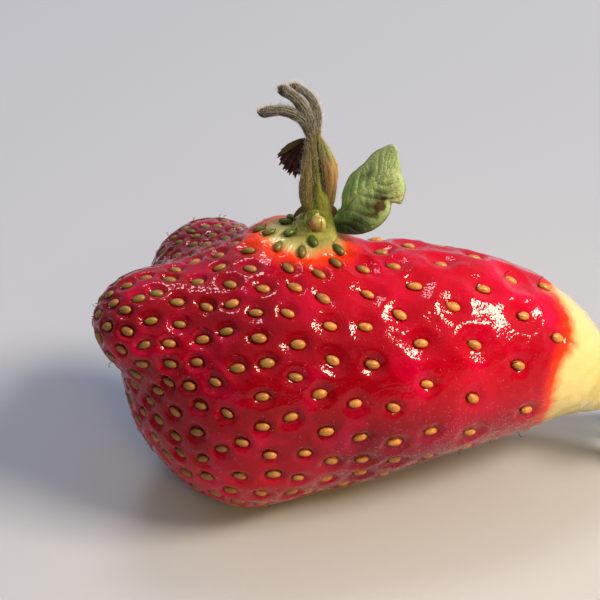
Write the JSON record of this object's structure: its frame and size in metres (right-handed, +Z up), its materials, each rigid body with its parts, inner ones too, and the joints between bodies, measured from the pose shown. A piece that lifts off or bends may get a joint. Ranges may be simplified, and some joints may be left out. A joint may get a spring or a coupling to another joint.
{
  "type": "strawberry",
  "caption": "Ripe long-necked strawberry lying on its side, with achenes, calyx, cut stem and a small leafy shoot growing from its flank.",
  "frame": {"origin": "middle of the small flat spot under the fruit, on the surface it rests on", "axes": "+X from the broad tip to the stem, +Y across the fruit away from its best side, +Z up"},
  "size_m": [0.067, 0.0305, 0.0425],
  "materials": {
    "flesh": "waxy red skin, glossy, with pits round the achenes, pale at the neck and at the shoot",
    "calyx_green": "fresh green sepal, finely hairy",
    "fresh_stalk": "pale green stalk, hairy",
    "bud_cream": "cream waxy bud",
    "hairy_grey_green": "grey-green young leaf, silky hairs",
    "papery_scale": "papery orange-brown scale",
    "withered_brown": "withered leaf, dark brown, matt",
    "leaf_green": "green leaf with lighter veins"
  },
  "bodies": {
    "root": {"fruit_flesh": "flesh", "calyx_disc": "calyx_green", "sepal_1": "calyx_green", "sepal_2": "calyx_green", "sepal_3": "calyx_green", "sepal_4": "calyx_green", "sepal_5": "calyx_green", "bractlet_1": "calyx_green", "bractlet_2": "calyx_green", "bractlet_3": "calyx_green", "bractlet_4": "calyx_green", "bractlet_5": "calyx_green", "cut_stem": "fresh_stalk", "shoot_crown": "fresh_stalk", "shoot_bud": "bud_cream", "shoot_stalk": "hairy_grey_green", "stipule_left": "fresh_stalk", "stipule_right": "papery_scale", "leaflet_upper": "hairy_grey_green", "leaflet_middle": "hairy_grey_green", "leaflet_lower": "hairy_grey_green", "withered_leaflet": "withered_brown", "side_leaf": "leaf_green", "scale_left": "papery_scale", "scale_right": "papery_scale"}
  },
  "joints": []
}
